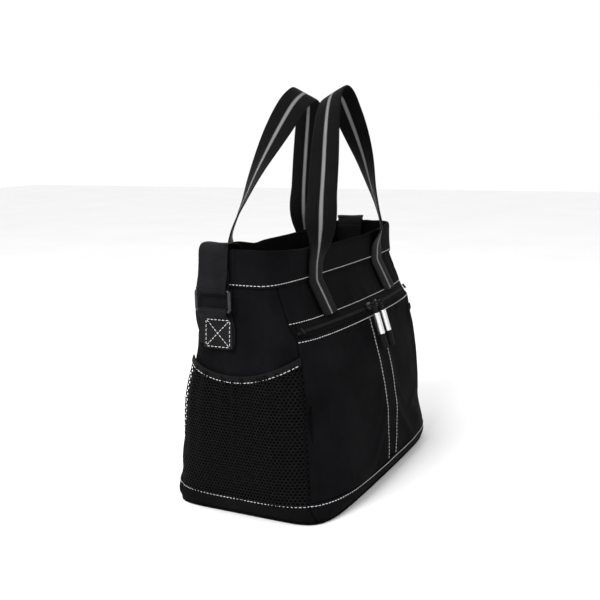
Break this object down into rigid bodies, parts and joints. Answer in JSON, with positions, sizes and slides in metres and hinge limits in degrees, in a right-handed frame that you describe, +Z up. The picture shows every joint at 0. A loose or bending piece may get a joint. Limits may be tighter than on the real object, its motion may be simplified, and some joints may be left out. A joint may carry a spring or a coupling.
{
  "type": "garden tool bag",
  "caption": "Soft garden tool tote with hemmed collar, zipped front pocket, mesh end pockets, two carry handles that fold, and a shoulder strap on wire rings",
  "frame": {"origin": "on the ground under the middle of the bag", "axes": "+Z up, -Y towards the zipped front pocket, +X along the bag's length"},
  "size_m": [0.4004, 0.226, 0.4783],
  "materials": {
    "polyester": "fine woven black polyester",
    "lining": "dull woven lining",
    "webbing": "ribbed webbing with a pale stripe",
    "mesh": "open knitted mesh",
    "elastic": "ribbed elastic binding",
    "zip_tape": "woven zip tape",
    "zip_coil": "moulded coil",
    "black_metal": "gloss black plated",
    "brushed_metal": "brushed",
    "board": "matt sheet",
    "cord": "braided cord",
    "knot": "moulded end"
  },
  "bodies": {
    "bag": {"base_panel": "polyester", "base_board": "board", "front_base_band": "polyester", "right_base_band": "polyester", "back_base_band": "polyester", "left_base_band": "polyester", "pocket_left_panel": "polyester", "pocket_right_panel": "polyester", "pocket_centre_strip": "polyester", "front_wall": "lining", "front_yoke": "polyester", "back_panel": "polyester", "left_side_panel": "polyester", "right_side_panel": "polyester", "front_rim_hem": "polyester", "back_rim_hem": "polyester", "left_mesh_pocket": "mesh", "right_mesh_pocket": "mesh", "left_pocket_binding": "elastic", "right_pocket_binding": "elastic", "zip_tape_lower": "zip_tape", "zip_tape_upper": "zip_tape", "zip_coil_lower": "zip_coil", "zip_coil_upper": "zip_coil", "zip_end_stops": "black_metal", "front_left_handle_tab": "webbing", "front_right_handle_tab": "webbing", "back_left_handle_tab": "webbing", "back_right_handle_tab": "webbing", "left_ring_anchor": "webbing", "right_ring_anchor": "webbing", "shoulder_strap": "webbing"},
    "front_handle": {"front_handle_webbing": "webbing"},
    "back_handle": {"back_handle_webbing": "webbing"},
    "left_ring_body": {"left_ring": "black_metal", "left_strap_end": "webbing"},
    "right_ring_body": {"right_ring": "black_metal", "right_strap_end": "webbing"},
    "left_slider_body": {"left_slider": "black_metal"},
    "right_slider_body": {"right_slider": "black_metal"},
    "left_pull": {"left_pull_cord": "cord", "left_pull_barrel": "brushed_metal", "left_pull_knot": "knot"},
    "right_pull": {"right_pull_cord": "cord", "right_pull_barrel": "brushed_metal", "right_pull_knot": "knot"}
  },
  "joints": [
    {"name": "front_handle_fold", "type": "hinge", "parent": "bag", "child": "front_handle", "pos_m": [0, -0.0532, 0.267], "axis": [1, 0, 0], "range_deg": [0, 130]},
    {"name": "back_handle_fold", "type": "hinge", "parent": "bag", "child": "back_handle", "pos_m": [0, 0.0532, 0.267], "axis": [-1, 0, 0], "range_deg": [0, 130]},
    {"name": "left_ring_swing", "type": "hinge", "parent": "bag", "child": "left_ring_body", "pos_m": [-0.1954, 0.024, 0.237], "axis": [0, -1, 0], "range_deg": [0, 30]},
    {"name": "right_ring_swing", "type": "hinge", "parent": "bag", "child": "right_ring_body", "pos_m": [0.1954, 0.024, 0.237], "axis": [0, 1, 0], "range_deg": [0, 30]},
    {"name": "left_slider_travel", "type": "hinge", "parent": "bag", "child": "left_slider_body", "pos_m": [0, 1.0205, 0.214], "axis": [0, 0, -1], "range_deg": [-0.1, 7.4]},
    {"name": "right_slider_travel", "type": "hinge", "parent": "bag", "child": "right_slider_body", "pos_m": [0, 1.0205, 0.214], "axis": [0, 0, 1], "range_deg": [-0.1, 6.8]},
    {"name": "left_pull_swing", "type": "hinge", "parent": "left_slider_body", "child": "left_pull", "pos_m": [-0.00504, -0.08779, 0.22075], "axis": [-1, 0.0045, 0], "range_deg": [0, 100]},
    {"name": "right_pull_swing", "type": "hinge", "parent": "right_slider_body", "child": "right_pull", "pos_m": [0.01612, -0.08769, 0.22075], "axis": [-0.9999, -0.0145, 0], "range_deg": [0, 100]}
  ]
}
